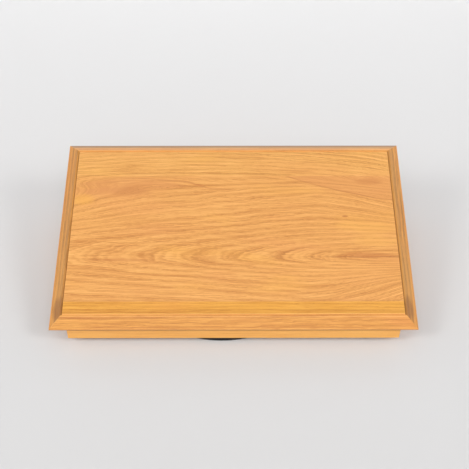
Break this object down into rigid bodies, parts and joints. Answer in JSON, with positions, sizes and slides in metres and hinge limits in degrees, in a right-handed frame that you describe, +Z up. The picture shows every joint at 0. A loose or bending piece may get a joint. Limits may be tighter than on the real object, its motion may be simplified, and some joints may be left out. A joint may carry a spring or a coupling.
{
  "type": "photo album stand",
  "caption": "Low sloping oak display stand: rectangular top with mitred bevelled border on a wedge base that swivels on a round black foot.",
  "frame": {"origin": "centre of the overall plan, at floor level under the rubber pads", "axes": "+X to the right seen from the low front edge, +Y towards the high back edge, +Z up; the top slopes 20 degrees down towards -Y"},
  "size_m": [0.5, 0.2827, 0.1376],
  "materials": {
    "oak_panel": "satin lacquered oak, warm honey colour",
    "oak_trim": "satin lacquered oak, mitred and bevelled",
    "oak_base": "satin lacquered oak, fine straight grain",
    "plywood": "unfinished birch plywood",
    "softwood": "unfinished planed softwood",
    "black_disc": "birch plywood disc under black satin lacquer",
    "zinc_steel": "zinc plated",
    "bearing_steel": "polished",
    "nylon": "natural nylon",
    "rubber": "matt black"
  },
  "bodies": {
    "foot": {"turntable_disc": "black_disc", "foot_pads": "rubber", "bearing_lower_plate": "zinc_steel", "disc_screws": "zinc_steel", "disc_nuts": "zinc_steel"},
    "ball_ring": {"bearing_balls": "bearing_steel", "ball_cage": "nylon"},
    "stand": {"top_stave_rear": "oak_panel", "top_stave_middle": "oak_panel", "top_stave_front": "oak_panel", "trim_front": "oak_trim", "trim_back": "oak_trim", "trim_left": "oak_trim", "trim_right": "oak_trim", "front_rail": "oak_base", "back_rail": "oak_base", "left_cheek": "oak_base", "right_cheek": "oak_base", "trim_splines": "plywood", "base_splines": "plywood", "bottom_panel": "plywood", "front_batten": "softwood", "back_batten": "softwood", "left_cleat": "softwood", "right_cleat": "softwood", "back_cleat": "softwood", "rear_corner_blocks": "softwood", "top_screws_front": "zinc_steel", "top_screws_back": "zinc_steel", "bottom_panel_screws": "zinc_steel", "upper_plate_screws": "zinc_steel", "bearing_upper_plate": "zinc_steel", "centre_eyelet": "zinc_steel"}
  },
  "joints": [
    {"name": "stand_swivel", "type": "hinge", "parent": "foot", "child": "stand", "pos_m": [-0.016, -0.0007, 0.01225], "axis": [0, 0, 1], "continuous": true},
    {"name": "ball_ring_spin", "type": "hinge", "parent": "foot", "child": "ball_ring", "pos_m": [-0.016, -0.0007, 0.01225], "axis": [0, 0, 1], "continuous": true}
  ],
  "couplings": [
    {"joint": "ball_ring_spin", "follows": "stand_swivel", "ratio": 0.5}
  ]
}
